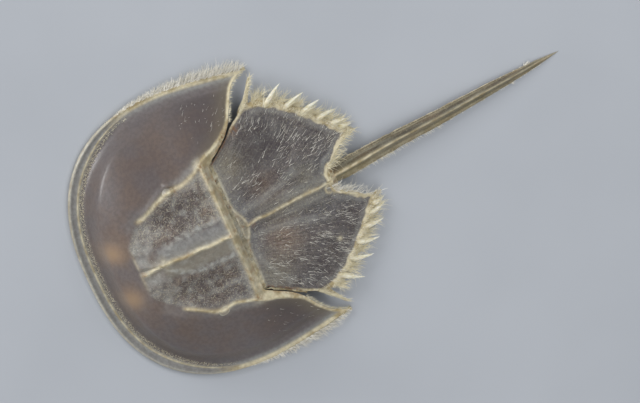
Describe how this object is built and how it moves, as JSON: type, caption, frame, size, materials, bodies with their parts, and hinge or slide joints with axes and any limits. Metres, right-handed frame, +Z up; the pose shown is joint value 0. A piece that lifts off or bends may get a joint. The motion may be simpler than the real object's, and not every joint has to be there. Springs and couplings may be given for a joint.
{
  "type": "horseshoe crab shell",
  "caption": "Dried cast-off shell of a young horseshoe crab, with a domed head shield, an abdomen plate fringed with loose spines and bristles, and a long pointed tail spine.",
  "frame": {"origin": "under the middle of the bounding box, on the surface that the shell lies on", "axes": "head towards -Y, tail spine towards +Y, +X is the animal's left, +Z up through the back"},
  "size_m": [0.0624, 0.1046, 0.0148],
  "materials": {
    "head_skin": "translucent dried skin, satin",
    "plate_skin": "translucent dried skin, satin, with fine bristles",
    "tail_skin": "dried skin, satin",
    "spine_skin": "pale cream, satin"
  },
  "bodies": {
    "root": {"head_shield": "head_skin", "abdomen_plate": "plate_skin", "tail_spine": "tail_skin", "edge_spine_right_1": "spine_skin", "edge_spine_right_2": "spine_skin", "edge_spine_right_3": "spine_skin", "edge_spine_right_4": "spine_skin", "edge_spine_right_5": "spine_skin", "edge_spine_right_6": "spine_skin", "edge_spine_left_1": "spine_skin", "edge_spine_left_2": "spine_skin", "edge_spine_left_3": "spine_skin", "edge_spine_left_4": "spine_skin", "edge_spine_left_5": "spine_skin", "edge_spine_left_6": "spine_skin"}
  },
  "joints": []
}
